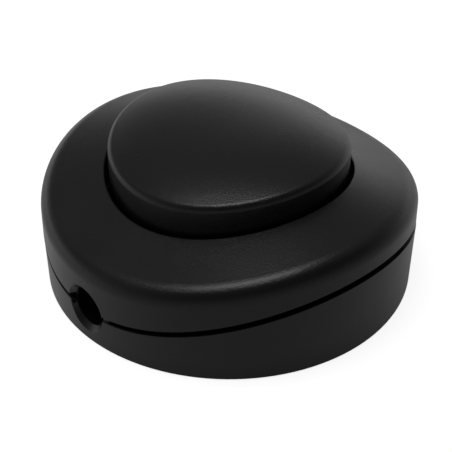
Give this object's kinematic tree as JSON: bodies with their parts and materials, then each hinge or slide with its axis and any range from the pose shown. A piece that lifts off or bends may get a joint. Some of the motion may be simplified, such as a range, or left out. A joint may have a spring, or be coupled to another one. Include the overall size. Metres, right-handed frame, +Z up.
{
  "type": "foot switch",
  "caption": "Round inline foot switch: a low drum housing with an arched seam, a cord inlet at each end and a large round button that is pressed down by foot.",
  "frame": {"origin": "middle of the underside", "axes": "+Z up out of the button, +X along the cord from the supply inlet to the lamp inlet, -Y towards the neutral terminal"},
  "size_m": [0.0658, 0.066, 0.0282],
  "materials": {
    "black_housing": "moulded, fine spark-eroded grain",
    "black_button": "moulded, fine spark-eroded grain",
    "natural_moulding": "moulded, natural colour",
    "red_moulding": "moulded, satin",
    "grey_moulding": "moulded, satin",
    "brass": "stamped, bare",
    "silver_contact": "silver faced",
    "spring_steel": "drawn wire",
    "zinc_steel": "zinc plated"
  },
  "bodies": {
    "housing": {"base_shell": "black_housing", "top_shell": "black_housing", "rotor_washer": "zinc_steel", "spring_seat": "zinc_steel", "post_screw": "zinc_steel", "return_spring": "spring_steel", "supply_terminal": "brass", "lamp_terminal": "brass", "neutral_terminal": "brass", "fixed_contacts": "silver_contact", "terminal_screws": "zinc_steel", "supply_clamp": "grey_moulding", "lamp_clamp": "grey_moulding", "clamp_screws": "zinc_steel", "housing_screws": "zinc_steel"},
    "button": {"foot_button": "black_button", "drive_plunger": "natural_moulding", "plunger_screws": "zinc_steel"},
    "rotor": {"cam_rotor": "red_moulding", "contact_bridge": "brass", "bridge_contacts": "silver_contact"}
  },
  "joints": [
    {"name": "button_press", "type": "slide", "parent": "housing", "child": "button", "axis": [0, 0, -1], "range_m": [0, 0.004], "stiffness_N_per_m": 2500, "springref_m": -0.003, "deforming": ["return_spring"]},
    {"name": "rotor_turn", "type": "hinge", "parent": "housing", "child": "rotor", "pos_m": [0, 0, 0.0046], "axis": [0, 0, 1], "range_deg": [0, 60]}
  ],
  "couplings": [
    {"joint": "rotor_turn", "follows": "button_press", "rad_per_m": 196.34}
  ]
}
